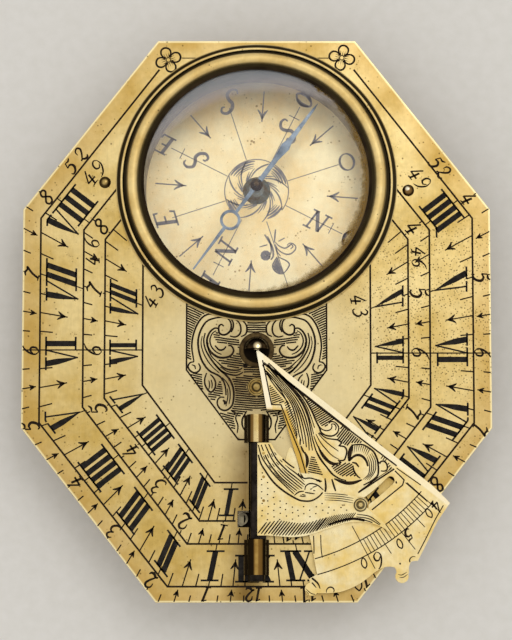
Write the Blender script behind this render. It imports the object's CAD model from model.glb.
"""Looks of a pocket sundial with a hinged bird gnomon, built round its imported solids.

Lengths are in millimetres until a mesh is made. The dial plate lies level, the compass end
points along +Y, and the point where all hour lines meet is TOE.
"""

import math
from itertools import product

import bpy
import numpy as np
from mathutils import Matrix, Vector


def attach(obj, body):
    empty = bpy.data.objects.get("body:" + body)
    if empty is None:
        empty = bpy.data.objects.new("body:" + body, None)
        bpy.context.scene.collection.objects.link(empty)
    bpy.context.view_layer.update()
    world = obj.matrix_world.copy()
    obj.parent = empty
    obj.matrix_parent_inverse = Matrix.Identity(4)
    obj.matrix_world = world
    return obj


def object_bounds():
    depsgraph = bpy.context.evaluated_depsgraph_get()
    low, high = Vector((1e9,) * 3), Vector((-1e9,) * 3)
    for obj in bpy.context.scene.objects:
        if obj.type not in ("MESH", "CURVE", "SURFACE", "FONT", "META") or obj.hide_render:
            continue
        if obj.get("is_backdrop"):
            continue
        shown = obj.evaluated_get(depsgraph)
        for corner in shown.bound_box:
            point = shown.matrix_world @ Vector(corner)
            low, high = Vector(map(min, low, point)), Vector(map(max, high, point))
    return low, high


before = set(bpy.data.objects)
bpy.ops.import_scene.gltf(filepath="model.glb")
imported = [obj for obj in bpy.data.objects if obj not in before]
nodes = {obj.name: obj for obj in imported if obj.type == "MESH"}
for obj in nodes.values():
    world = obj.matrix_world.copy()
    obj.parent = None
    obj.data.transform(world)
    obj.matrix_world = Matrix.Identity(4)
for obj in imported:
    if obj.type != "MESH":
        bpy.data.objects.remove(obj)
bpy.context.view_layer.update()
scene = bpy.context.scene

MM = 0.001
TOE = np.array([0.0, -4.3])
COMPASS = np.array([0.0, 18.5])
PLATE_TOP = 8.2
ROSE_TOP = 1.5
STYLE_TOP = 9.4
BIRD_TOP = 10.1
EDGE_ANGLE = math.radians(52.0)


# materials


def tone(code):
    """An sRGB hex value as linear red, green, blue and full alpha."""
    parts = [int(code[i : i + 2], 16) / 255 for i in (1, 3, 5)]
    return tuple(c / 12.92 if c <= 0.04045 else ((c + 0.055) / 1.055) ** 2.4 for c in parts) + (1,)


class Nodes:
    """The shader nodes of a material or of the world, and the colour they have come to."""

    def __init__(self, owner, coordinates="Object"):
        owner.use_nodes = True
        self.owner = owner
        self.tree = owner.node_tree
        self.tree.nodes.clear()
        self.point = self.put("TexCoord").outputs[coordinates]
        self.colour = None

    def put(self, kind, inputs=None, stops=None, **settings):
        """Adds a node. inputs holds values or sockets by socket name or number, stops a ramp's."""
        new = self.tree.nodes.new("ShaderNode" + kind)
        for key, value in settings.items():
            setattr(new, key, value)
        if stops:
            elements = new.color_ramp.elements
            while len(elements) < len(stops):
                elements.new(0.5)
            for spot, (place, colour) in zip(elements, stops):
                spot.position = place
                spot.color = colour
        for key, value in (inputs or {}).items():
            if isinstance(value, bpy.types.NodeSocket):
                self.tree.links.new(value, new.inputs[key])
            else:
                new.inputs[key].default_value = value
        return new

    def shade(self, inputs, kind="BsdfPrincipled", output="OutputMaterial"):
        """Ends the tree with the shader that has these inputs, and gives back its owner."""
        self.put(output, {"Surface": self.put(kind, inputs).outputs[0]})
        return self.owner

    def noise(self, size, detail, rough=0.5, point=None):
        """A cloud whose lumps are about size mm wide."""
        inputs = {"Vector": point or self.point, "Scale": 1 / (size * MM)}
        inputs.update({"Detail": detail, "Roughness": rough})
        return self.put("TexNoise", inputs).outputs["Fac"]

    def cells(self, size):
        """How far a point is from the middle of its cell, where cells are about size mm wide."""
        return self.put("TexVoronoi", {"Vector": self.point, "Scale": 1 / (size * MM)}).outputs["Distance"]

    def tint(self, value, *stops):
        """Starts the colour: the tone that value has among stops, each a place and a hex value."""
        stops = [(place, tone(code)) for place, code in stops]
        self.colour = self.put("ValToRGB", {"Fac": value}, stops).outputs["Color"]

    def dim(self, strength):
        """Multiplies the colour by strength."""
        inputs = {0: self.colour, "Scale": strength}
        self.colour = self.put("VectorMath", inputs, operation="SCALE").outputs["Vector"]

    def lay(self, mask, code):
        """Lays the hex tone over the colour by mask."""
        inputs = {"Factor": mask, 6: self.colour, 7: tone(code)}
        self.colour = self.put("Mix", inputs, data_type="RGBA").outputs[2]

    def calc(self, operation, *values, **settings):
        """What one step of arithmetic makes of the values."""
        return self.put("Math", dict(enumerate(values)), operation=operation, **settings).outputs[0]

    def times(self, first, second):
        """The product of two masks."""
        return self.calc("MULTIPLY", first, second)

    def span(self, value, low, high, top=1.0, bottom=0.0):
        """bottom where value is at low, rising to top at high."""
        inputs = {"Value": value, "From Min": low, "From Max": high, "To Min": bottom, "To Max": top}
        return self.put("MapRange", inputs).outputs["Result"]

    def relief(self, height, depth):
        """The tilt of a surface whose height of 1 is depth mm."""
        return self.put("Bump", {"Height": height, "Distance": depth * MM}).outputs["Normal"]

    def apart(self):
        """The point's x, y and z in metres."""
        return self.put("SeparateXYZ", {0: self.point}).outputs

    def distance_from(self, x, y):
        """How far a point is, in mm and seen from above, from the place x, y."""
        flat = self.put("VectorMath", {0: self.point, 1: (1, 1, 0)}, operation="MULTIPLY").outputs[0]
        inputs = {0: flat, 1: (x * MM, y * MM, 0)}
        return self.times(self.put("VectorMath", inputs, operation="DISTANCE").outputs["Value"], 1 / MM)

    def beside(self, start, way):
        """How far a point lies, in mm, to the left of the line that leaves start along way."""
        across = (-way[1] / MM, way[0] / MM, 0)
        inputs = {0: self.point, 1: across}
        reach = self.put("VectorMath", inputs, operation="DOT_PRODUCT").outputs["Value"]
        return self.calc("SUBTRACT", reach, start[0] * across[0] * MM + start[1] * across[1] * MM)

    def specks(self, spacing, radius, where, code):
        """Small dark dots, in cells spacing mm wide, and only where the mask lets them."""
        reach = radius / spacing
        dot = self.span(self.cells(spacing), 1.25 * reach, 0.6 * reach, 0.85)
        self.lay(self.times(dot, where), code)


# how deep in mm the marks of wear are
MARK_DEPTH = 0.004


def worn_metal(
    name, bright, dull, stain, rough=(0.28, 0.42), patch=9.0, spots=0.5, spot_size=0.55, scratch=0.5,
    extra=None,
):
    """A hand-finished metal that has tarnished unevenly.

    patch is the width in mm of the brighter and duller areas, spots how much of it is
    pitted, spot_size the spacing of the pits in mm, scratch how strong its grain is.
    extra may add the marks that one piece alone has.
    """
    m = Nodes(bpy.data.materials.new(name))
    cloud = m.noise(patch, 5.0, 0.6)
    m.tint(cloud, (0.36, dull), (0.62, bright))
    # fine grain left by the last stoning and by handling, about 0.2 mm wide, drawn out
    drawn = m.put("Mapping", {"Vector": m.point, "Rotation": (0, 0, 0.5), "Scale": (1.0, 0.12, 1.0)})
    grain = m.noise(0.22, 3.0, 0.65, drawn.outputs["Vector"])
    m.dim(m.span(grain, 0.3, 0.7, bottom=1 - 0.16 * scratch))
    # mottling left by the hammer, about 0.7 mm across
    m.dim(m.span(m.noise(0.7, 2.0), 0.35, 0.65, bottom=1 - 0.2 * scratch))
    # pits: the middles of small cells, only where a coarser cloud lets them show
    reach = m.span(m.noise(2.6, 3.0, 0.7), 0.62 - 0.2 * spots, 0.8, 0.42)
    near = m.calc("SUBTRACT", reach, m.cells(spot_size))
    pit = m.span(near, -0.05, 0.12, 0.85)
    m.lay(pit, stain)
    if extra:
        extra(m)
    height = m.calc("SUBTRACT", m.times(grain, 0.35 * scratch), pit)
    shine = m.span(cloud, 0.35, 0.65, *rough)
    normal = m.relief(height, MARK_DEPTH)
    return m.shade({"Base Color": m.colour, "Metallic": 1.0, "Roughness": shine, "Normal": normal})


def plate_marks(m):
    """Rubbed paler in the middle of the scales, deeper gold with brown stains at the rim."""
    x, y, _ = m.apart()
    # how far outside the rim a point lies, by the plate's sides, its ends and its corners
    wide, long = m.calc("ABSOLUTE", x), m.calc("ABSOLUTE", y)
    slope = m.calc("MULTIPLY_ADD", long, 0.615, m.times(wide, 0.789))
    rim = m.calc("SUBTRACT", wide, 31.5 * MM)
    for reach, limit in ((long, 38.0), (slope, 33.95)):
        rim = m.calc("MAXIMUM", rim, m.calc("SUBTRACT", reach, limit * MM))
    cloud = m.noise(5.0, 4.0, 0.65)
    rubbed = m.span(m.distance_from(0.0, -6.0), 20.0, 11.0, 0.6)
    m.lay(rubbed, "#DCCFA6")
    uneven = m.calc("MULTIPLY_ADD", cloud, 7.0 * MM, rim)
    m.lay(m.span(uneven, -1.0 * MM, 3.8 * MM, 0.5), "#B58A3C")
    # brown tarnish round the toe and in a trail beside the hinge, where no cloth reaches
    toe = m.calc("MULTIPLY_ADD", cloud, -5.0, m.distance_from(-0.9, -8.0))
    m.lay(m.span(toe, 4.2, -0.6, 0.7), "#6A5128")
    hinge = m.calc("ABSOLUTE", m.calc("ADD", x, 1.5 * MM))
    hinge = m.calc("MULTIPLY_ADD", cloud, -2.0 * MM, hinge)
    low = m.span(y, -14.0 * MM, -18.0 * MM)
    trail = m.times(m.span(hinge, 2.4 * MM, -1.0 * MM, 0.8), low)
    m.lay(trail, "#6B5128")
    # the panel's ground, never polished between its lines
    ground = m.span(m.distance_from(0.0, -5.0), 10.0, 4.0, 0.4)
    m.lay(m.times(ground, m.span(cloud, 0.3, 0.6)), "#8A7444")
    # the sharp edge all round is worn bright
    worn = m.times(m.span(rim, -0.3 * MM, -0.12 * MM, 0.75), m.span(rim, 0.0, -0.04 * MM))
    m.lay(worn, "#FFF3BE")
    # fine dark specks, thick on the right and thin elsewhere
    right = m.span(m.distance_from(25.0, 1.0), 15.0, 9.0)
    m.specks(0.36, 0.09, right, "#4A3A18")
    every = m.span(cloud, 0.45, 0.55, 0.9)
    m.specks(0.8, 0.12, every, "#54421E")


# how dark the bezel is at each radius: the bore's edge, the roll, a groove, the bead, the rim
GROOVES = (
    (15.0, 1), (15.9, 1), (16.2, 0.1), (16.5, 0), (17.25, 0), (17.55, 1),
    (18.04, 1), (18.13, 0), (18.33, 0), (18.42, 1), (18.84, 1), (18.98, 0.25),
)


def groove_marks(m):
    """Dark tarnish left in the turned grooves, by distance from the compass's middle."""
    inner, outer = 15.0, 19.2
    share = m.span(m.distance_from(*COMPASS), inner, outer)
    stops = [((radius - inner) / (outer - inner), (dark, dark, dark, 1)) for radius, dark in GROOVES]
    m.lay(m.times(m.put("ValToRGB", {"Fac": share}, stops).outputs["Color"], 0.97), "#140E08")


def ring_marks(x, y, *dark_rings):
    """Dark rings round the place x, y: each is given by its radius and half its width."""

    def marks(m):
        away = m.distance_from(x, y)
        for radius, half in dark_rings:
            off = m.calc("ABSOLUTE", m.calc("SUBTRACT", away, radius))
            m.lay(m.span(off, half * 1.3, half * 0.5, 0.9), "#1C140C")

    return marks


def box_rivet_marks(m):
    """The left flange rivet has black dirt round its worn top, the right one is brown."""
    ring_marks(-20.5, 18.5, (0.68, 0.36))(m)
    right = m.distance_from(20.5, 17.4)
    m.lay(m.span(right, 1.1, 0.9, 0.85), "#7A5830")
    ring_marks(20.5, 17.4, (0.76, 0.3))(m)
    glint = m.distance_from(20.35, 17.6)
    m.lay(m.span(glint, 0.36, 0.16, 0.95), "#FFF6DA")


def ball_marks(m):
    """Black over the top; the half ball is rubbed bright only where it meets the style's tip."""
    high = m.span(m.apart()[1], (TOE[1] + 0.45) * MM, (TOE[1] + 0.95) * MM, 0.93)
    m.lay(high, "#14100B")
    low = m.distance_from(TOE[0] + 0.1, TOE[1] + 0.3)
    m.lay(m.span(low, 0.6, 0.2, 0.9), "#FFE9B8")


def toe_marks(m):
    """Black inside the washer's inner edge, with dirt along its outer one."""
    away = m.distance_from(*TOE)
    m.lay(m.span(away, 1.85, 1.7, 0.97), "#0F0B08")
    m.lay(m.span(away, 2.2, 2.4, 0.9), "#1A140E")


def barrel_marks(bright, brown):
    """Brown and then black down both sides of a hinge barrel, where no finger polishes it:
    both strips are given by their ends in mm right of the hinge's middle."""

    def marks(m):
        across = m.beside((0.0, 0.0), (0.0, -1.0))
        for (left, right), code in ((bright, "#7A5A2A"), (brown, "#120E0A")):
            m.lay(m.span(across, left + 0.1, left - 0.08, 0.95), code)
            m.lay(m.span(across, right - 0.1, right + 0.08, 0.95), code)

    return marks


def style_marks(m):
    """Rubbed nearly white along the style's shadow edge and down its inner edge, golden on
    the strip beside the bird's back."""

    _, y, _ = m.apart()

    def between(low, high):
        """0 at low mm below the toe, 1 at high mm below it."""
        return m.span(y, (TOE[1] - low) * MM, (TOE[1] - high) * MM)

    gold = m.span(m.noise(3.2, 3.0, 0.6), 0.5, 0.68, 0.5)
    m.lay(gold, "#E2BC58")
    edge = m.beside(TOE, (-math.sin(EDGE_ANGLE), math.cos(EDGE_ANGLE)))
    m.lay(m.span(edge, 0.95, 0.75, 0.65), "#FFF4D4")
    inner = m.beside(TOE + (0.1, -0.2), (0.172, -0.985))
    inner = m.times(between(8.3, 8.0), m.span(inner, 0.75, 0.5, 0.8))
    m.lay(inner, "#FFF6DC")
    lower = m.beside(TOE + (3.45, -8.0), (0.3096, -0.951))
    part = m.times(between(7.7, 8.3), between(17.2, 16.4))
    strip = m.times(part, m.span(lower, 0.75, 0.5, 0.85))
    m.lay(strip, "#CFA53C")


def spring_marks(m):
    """Black with old oil below the dial face, clean only on the ends that stand above it."""
    low = m.span(m.apart()[2], (PLATE_TOP + 0.45) * MM, (PLATE_TOP + 0.2) * MM)
    m.lay(low, "#14100C")


def old_glass(name):
    """Old crown glass, cut flat: a faint lavender haze, a brown stain creeping in at the rim.

    It is a clear sheet whose haze, stain and grazing shine are what covers what lies under it.
    """
    m = Nodes(bpy.data.materials.new(name))
    cloud = m.noise(1.6, 5.0, 0.7)
    # the stain is widest on the right toward the hinge: the rim's middle is taken to lie a
    # little off there
    lean = m.distance_from(COMPASS[0] - 1.3, COMPASS[1] + 0.5)
    stain = m.span(m.calc("MULTIPLY_ADD", cloud, 2.4, lean), 16.5, 17.5)
    # grey bloom on the far side, in a crescent: outside a wide circle set off toward the hinge
    far = m.distance_from(COMPASS[0] + 1.9, COMPASS[1] - 7.4)
    bloom = m.span(m.calc("MULTIPLY_ADD", cloud, 0.8, far), 19.8, 22.3, 0.85)
    m.tint(cloud, (0.35, "#CFC6D4"), (0.65, "#DEDADE"))
    m.lay(bloom, "#858E96")
    m.lay(m.span(stain, 0.0, 0.2), "#7A5A0A")
    # grazing shine: one less the cosine of the angle of sight, to the fifth power
    graze = m.calc("POWER", m.put("LayerWeight", {"Blend": 0.5}).outputs["Facing"], 5.0)
    cover = m.calc("MULTIPLY_ADD", graze, 0.8, 0.05)
    cover = m.calc("MULTIPLY_ADD", bloom, 0.55, cover)
    cover = m.calc("MULTIPLY_ADD", stain, 0.9, cover, use_clamp=True)
    return m.shade({"Base Color": m.colour, "Roughness": 0.08, "IOR": 1.52, "Alpha": cover})


def filled_line(name, dark, brown, speck=0.5):
    """Old wax and dirt in an engraved line: matt, brown-black, lighter where it is worn thin."""
    m = Nodes(bpy.data.materials.new(name))
    cloud = m.noise(speck, 4.0, 0.7)
    m.tint(cloud, (0.42, dark), (0.68, brown))
    matt = {"Roughness": 0.75, "Specular IOR Level": 0.15, "Normal": m.relief(cloud, 0.01)}
    return m.shade({"Base Color": m.colour, **matt})


line_wax = filled_line("blackened_fine_cuts", "#130D07", "#33230F")
numeral_wax = filled_line("blackened_broad_cuts", "#15120F", "#2C2824", 0.9)
rose_wax = filled_line("greyed_rose_cuts", "#8C8C92", "#A8A29C", 0.8)
gnomon_wax = filled_line("brown_gnomon_cuts", "#150E06", "#38260F", 0.4)

# the bird and the style are of one sheet, worn alike
GNOMON = {"rough": (0.24, 0.36), "patch": 4.0, "spots": 0.35}
FINISH = {
    # Engraved sheet brass, hammered and stoned flat, then long handled: pale yellow with a
    # soft shine, fine grain, small dark pits and a deeper gold toward the rim.
    "plate_brass": worn_metal(
        "engraved_plate_brass", "#EBD394", "#CDAE62", "#6A4D22", spots=0.6, spot_size=0.3, extra=plate_marks
    ),
    # Turned and raised brass of the compass box, seen mostly from the side and below: the
    # same metal, browner because it isn't rubbed.
    "box_brass": worn_metal("turned_box_brass", "#D2B675", "#A98B4C", "#4E3A1E", patch=6.0),
    # Turned moulding of cast brass: bright on the roll and the bead, dark tarnish in between.
    "bezel_brass": worn_metal(
        "turned_bezel_brass", "#F6DC9A", "#E4C47C", "#6A5028", (0.5, 0.6), 5.0, 0.6,
        scratch=0.35, extra=groove_marks,
    ),
    # Inside of the compass, left from the lathe and never touched: dull brown.
    "lining_brass": worn_metal("dull_lining_brass", "#A9A5A0", "#8A8680", "#4A4036", (0.5, 0.65), 4.0),
    # Stoned brass disc under glass, kept from the air: the palest, warm and matt.
    "rose_brass": worn_metal(
        "matt_rose_brass", "#FFF1C4", "#FFE3A6", "#9A7B4C", (0.38, 0.48), 7.0, 0.8, spot_size=0.6, scratch=0.2
    ),
    # Sheet brass of the bird, often touched: bright, with a few golden patches.
    "gnomon_brass": worn_metal("polished_gnomon_brass", "#FFF1C2", "#F2D68A", "#6E5327", **GNOMON),
    # Brass gone nearly black with handling: the cap in the middle of the needle.
    "dark_brass": worn_metal("blackened_brass", "#6B5636", "#33291C", "#15110C", (0.12, 0.2), 1.6, 0.3),
    # Rolled brass barrels of the hinge: polished on top, dark down the sides.
    "knuckle_brass": worn_metal(
        "rolled_barrel_brass", "#EFD79B", "#CFB069", "#3A2C18", (0.24, 0.32), 2.5, 0.2,
        extra=barrel_marks((-0.42, 0.25), (-0.8, 0.72)),
    ),
    # Riveted brass heads, domed with a hammer: middling gold.
    "rivet_brass": worn_metal(
        "hammered_rivet_brass", "#C9A962", "#8F7038", "#3B2A16", patch=1.2, spots=0.4, spot_size=0.3
    ),
    "glass": old_glass("hazy_crown_glass"),
    # Heat-blued steel, filed flat: slate blue, with a soft straight shine.
    "needle_steel": worn_metal("blued_needle_steel", "#93A3B2", "#5C6C7C", "#39424A", (0.3, 0.42), 2.5, 0.15),
    # Bright turned steel of the needle's point.
    "post_steel": worn_metal("turned_post_steel", "#B9B7B0", "#8D8A84", "#4A4640", (0.25, 0.35), 1.5, 0.1),
    # Oiled iron of the hinge pin, brown-black.
    "dark_steel": worn_metal("oiled_pin_iron", "#342E29", "#1C1815", "#0E0B09", (0.3, 0.42), 1.2, 0.3),
    # Hammered spring steel, grey with brown specks.
    "spring_steel": worn_metal(
        "hammered_spring_steel", "#8F866E", "#575042", "#2A231A", (0.3, 0.42), 1.0, 0.6, extra=spring_marks
    ),
}
# a few solids look unlike the rest of their slot
OWN_FINISH = {
    # Sheet brass of the style: the bird's, rubbed and golden in its own places.
    "style_plate": worn_metal(
        "polished_style_brass", "#FFEFBE", "#F0D284", "#6E5327", **GNOMON, extra=style_marks
    ),
    # Brass wire round the glass, tarnished an even brown.
    "glass_retainer": worn_metal(
        "tarnished_wire_brass", "#33291C", "#1E170F", "#120D08", (0.3, 0.4), 6.0, 0.1
    ),
    # The lower barrel is browner, with only a narrow line polished.
    "lower_knuckle": worn_metal(
        "tarnished_barrel_brass", "#BC9A54", "#957238", "#2A2014", (0.26, 0.34), 2.5, 0.2,
        extra=barrel_marks((-0.26, 0.2), (-0.36, 0.78)),
    ),
    # Rivet heads with dirt held round a burnished middle.
    "eye_rivet": worn_metal(
        "ringed_eye_brass", "#E9D69C", "#C5A864", "#3B2A16", patch=1.2, spots=0.1,
        extra=ring_marks(13.76, -25.17, (0.48, 0.12), (0.86, 0.15)),
    ),
    "spring_rivet": worn_metal(
        "ringed_flat_rivet_brass", "#BFA668", "#866A34", "#3B2A16", patch=1.2, spots=0.3,
        extra=ring_marks(0.0, -9.3, (0.55, 0.14), (0.95, 0.05), (1.25, 0.12)),
    ),
    "box_rivets": worn_metal(
        "ringed_box_rivet_brass", "#D2B873", "#A5864A", "#3B2A16",
        patch=1.2, spots=0.2, spot_size=0.3, extra=box_rivet_marks,
    ),
    # Brass gone nearly black, on the toe's half ball and the ring round it.
    "seat_washer": worn_metal(
        "ringed_washer_brass", "#5C4B2E", "#33281A", "#20180F", patch=1.4, spots=0.2, extra=toe_marks
    ),
    "toe_socket": worn_metal(
        "blackened_ball_brass", "#4A3A24", "#1E1710", "#0E0B08", (0.12, 0.18), 1.6, 0.2, extra=ball_marks
    ),
    # The post's collar under the needle, blued and oiled: slate grey with brown.
    "post_collar": worn_metal("blued_collar_steel", "#A9B6B6", "#9A8866", "#5A5244", (0.6, 0.75), 1.3, 0.2),
}


# engraved lines


def pairs(numbers):
    """Rows of x and y, from points or from their coordinates in turn."""
    return np.reshape(np.asarray(numbers, float), (-1, 2))


def flow(points, step=0.3):
    """A smooth line through the points: on each stretch a cubic whose slope at either end is
    half the chord between the two neighbouring points."""
    p = pairs(points)
    p = np.vstack([2 * p[0] - p[1], p, 2 * p[-1] - p[-2]])
    parts = []
    for a, b, c, d in zip(p[:-3], p[1:-2], p[2:-1], p[3:]):
        count = max(2, math.ceil(np.linalg.norm(c - b) / step))
        t = np.linspace(0, 1, count, endpoint=False)[:, None]
        square = 2 * b + (c - a) * t + (2 * a - 5 * b + 4 * c - d) * t**2
        parts.append(0.5 * (square + (3 * b - a - 3 * c + d) * t**3))
    return np.vstack(parts + [p[-2:-1]])


def straight(points, step=0.4):
    """The same corners, with points at most step apart between them."""
    p = pairs(points)
    parts = []
    for b, c in zip(p[:-1], p[1:]):
        count = max(1, math.ceil(np.linalg.norm(c - b) / step))
        t = np.linspace(0, 1, count, endpoint=False)[:, None]
        parts.append(b + (c - b) * t)
    return np.vstack(parts + [p[-1:]])


def pen(points, width, press="even"):
    """A stroke: its points and its width at each, by how the graver was pressed along it."""
    t = np.linspace(0, 1, len(points))
    share = {
        "even": np.ones_like(t),
        "swell": 0.35 + 0.65 * np.sin(np.pi * t) ** 0.8,
        "firm": 0.65 + 0.35 * np.sin(np.pi * t) ** 0.8,
        "fade": 1 - 0.75 * t,
        "spike": np.clip(1.25 - 1.2 * t**1.5, 0.08, 1),
    }[press]
    return pairs(points), width * share


def cut(points, width):
    """A stroke of even width along straight lines."""
    return pen(straight(points), width)


def traced(rows, press="firm", step=0.3):
    """Smooth strokes, each given by its width and its points."""
    return [pen(flow(points, step), width, press) for width, points in rows]


def moved(strokes, shift):
    """The strokes set off by shift."""
    return [(points + shift, widths) for points, widths in strokes]


def sides(points):
    """The unit left-hand normal at each point, lengthened at a corner as a mitre is."""
    step = np.diff(points, axis=0)
    step = step / np.maximum(np.linalg.norm(step, axis=1, keepdims=True), 1e-9)
    before = np.vstack([step[:1], step])
    after = np.vstack([step, step[-1:]])
    along = before + after
    along = along / np.maximum(np.linalg.norm(along, axis=1, keepdims=True), 1e-9)
    half = np.clip(np.sum(along * after, axis=1, keepdims=True), 0.6, 1)
    return np.stack([-along[:, 1], along[:, 0]], axis=1) / half


# how far a bar reaches into the metal, its top's width against its foot's, and how close
# to a height a triangle has to lie to be part of the level face there
SINK = 0.03
TAPER = 0.84
LEVEL = 0.01


def level_face(node_name, height):
    """The triangles of a node that lie level at that height, seen from above, in mm."""
    mesh = nodes[node_name].data
    mesh.calc_loop_triangles()
    place = np.zeros(len(mesh.vertices) * 3, np.float32)
    mesh.vertices.foreach_get("co", place)
    corner = np.zeros(len(mesh.loop_triangles) * 3, np.int32)
    mesh.loop_triangles.foreach_get("vertices", corner)
    triangles = place.reshape(-1, 3)[corner].reshape(-1, 3, 3) / MM
    level = np.all(np.abs(triangles[:, :, 2] - height) < LEVEL, axis=1)
    return triangles[level][:, :, :2]


def over(points, triangles):
    """True where a point lies in one of the triangles: it is on one side of all three edges."""
    found = np.zeros(len(points), bool)
    for part in np.array_split(triangles, max(1, len(triangles) // 200)):
        signs = []
        for k in range(3):
            start = part[:, k]
            edge = part[:, (k + 1) % 3] - start
            rel = points[:, None, :] - start[None]
            signs.append(edge[None, :, 0] * rel[:, :, 1] - edge[None, :, 1] * rel[:, :, 0])
        signs = np.stack(signs)
        inside = np.all(signs >= -1e-6, axis=0) | np.all(signs <= 1e-6, axis=0)
        found |= inside.any(axis=1)
    return found


def engrave(name, strokes, base, height, material, body, rise):
    """Cut lines filled with wax, as one mesh of thin bars that stand rise mm above a face.

    At each point of a stroke, with normal n and width w, a bar has four corners: both ends
    of p +- n w / 2, SINK below the face, and both ends of p +- 0.42 n w, rise above it.
    Neighbouring sets of four are joined by four faces, and either end is closed by one.
    Only stretches whose two edges both lie over the node's level face are kept.
    """
    face = level_face(base, height)
    where = np.vstack([p for p, _ in strokes])
    edge = np.vstack([sides(p) * (w / 2)[:, None] for p, w in strokes])
    good = over(where + edge, face) & over(where - edge, face)
    corners, faces = [], []
    at = start = 0
    for points, _ in strokes:
        keep = good[at : at + len(points)].astype(int)
        ends = np.flatnonzero(np.diff(np.concatenate([[0], keep, [0]])))
        for first, last in zip(ends[::2], ends[1::2]):
            count = last - first
            if count < 2:
                continue
            p, n = points[first:last], edge[at + first : at + last]
            low, high = np.full((count, 1), height - SINK), np.full((count, 1), height + rise)
            ring = ((p - n, low), (p + n, low), (p + TAPER * n, high), (p - TAPER * n, high))
            corners.append(np.stack([np.hstack(corner) for corner in ring], axis=1).reshape(-1, 3))
            i = start + 4 * np.arange(count - 1)[:, None]
            k = np.arange(4)[None]
            j = (k + 1) % 4
            faces.append(np.stack([i + k, i + j, i + 4 + j, i + 4 + k], axis=2).reshape(-1, 4))
            end = start + 4 * (count - 1)
            faces.append([[start, start + 3, start + 2, start + 1], [end, end + 1, end + 2, end + 3]])
            start += 4 * count
        at += len(points)
    mesh = bpy.data.meshes.new(name)
    mesh.from_pydata((np.vstack(corners) * MM).tolist(), [], np.vstack(faces).tolist())
    mesh.materials.append(material)
    piece = bpy.data.objects.new(name, mesh)
    scene.collection.objects.link(piece)
    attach(piece, body)


def circle(centre, radius, first=0.0, last=360.0, step=0.25):
    """Points round a circle, from one angle to another in degrees."""
    count = max(6, math.ceil(abs(last - first) * math.pi / 180 * radius / step))
    a = np.radians(np.linspace(first, last, count + 1))
    return np.asarray(centre, float) + radius * np.stack([np.cos(a), np.sin(a)], axis=1)


def curl(centre, outer, inner, first, turn, count=28):
    """A scroll: the radius shrinks evenly from outer to inner while the angle turns."""
    t = np.linspace(0, 1, count)
    a = np.radians(first + turn * t)
    r = outer + (inner - outer) * t
    return np.asarray(centre, float) + np.stack([r * np.cos(a), r * np.sin(a)], axis=1)


def lengths(line):
    """How far along a line each of its points is."""
    return np.concatenate([[0], np.cumsum(np.linalg.norm(np.diff(line, axis=0), axis=1))])


def resample(line, count):
    """A smooth line cut into count points an even distance apart."""
    line = flow(line)
    along = lengths(line)
    at = np.linspace(0, along[-1], count)
    return np.stack([np.interp(at, along, line[:, k]) for k in (0, 1)], axis=1)


def fan(left, right, count, width, press="swell", ends=(0.0, 1.0), part=(0.0, 1.0)):
    """Strokes that pass evenly from the left line over to the right one: each is a mix of the
    two, point by point, with both lines cut into the same number of points. part is the
    stretch of them that is cut. Where they run close together, each is cut no wider than 0.6
    of the gap to the next."""
    samples = 30
    lines = [resample(left, samples), resample(right, samples)]
    step = (ends[1] - ends[0]) / (count - 1) if count > 1 else 0.5
    gap = step * np.linalg.norm(lines[1] - lines[0], axis=1)
    first, last = (round(samples * p) for p in part)
    out = []
    for share in np.linspace(*ends, count):
        points, widths = pen((lines[0] * (1 - share) + lines[1] * share)[first:last], width, press)
        out.append((points, np.minimum(widths, 0.04 + 0.6 * gap[first:last])))
    return out


def teeth(left, right, count, width, press="even"):
    """Short straight strokes from the left line over to the right one, evenly along both."""
    ends = zip(resample(left, count), resample(right, count))
    return [pen(straight([a, b], 0.25), width, press) for a, b in ends]


# a hatching stroke shorter than this, in mm, isn't cut
SHORTEST = 0.25


def hatch(corners, angle, gap, width, wave=0.0):
    """Parallel strokes that fill a polygon: a line every gap, cut where it crosses a side."""
    c, s = math.cos(math.radians(angle)), math.sin(math.radians(angle))
    turn = np.array([[c, s], [-s, c]])
    shape = pairs(corners) @ turn.T
    out = []
    after = np.roll(shape, -1, axis=0)
    for y in np.arange(shape[:, 1].min() + gap / 2, shape[:, 1].max(), gap):
        hit = (np.minimum(shape[:, 1], after[:, 1]) <= y) & (np.maximum(shape[:, 1], after[:, 1]) > y)
        a, b = shape[hit], after[hit]
        ends = np.sort(a[:, 0] + (y - a[:, 1]) / (b[:, 1] - a[:, 1]) * (b[:, 0] - a[:, 0]))
        for start, end in zip(ends[::2], ends[1::2]):
            if end - start >= SHORTEST:
                x = np.linspace(start, end, max(3, math.ceil((end - start) / 0.4)))
                bend = wave * np.sin(3.0 * x + 5.0 * y)
                out.append(pen(np.stack([x, y + bend], axis=1) @ turn, width))
    return out


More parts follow.
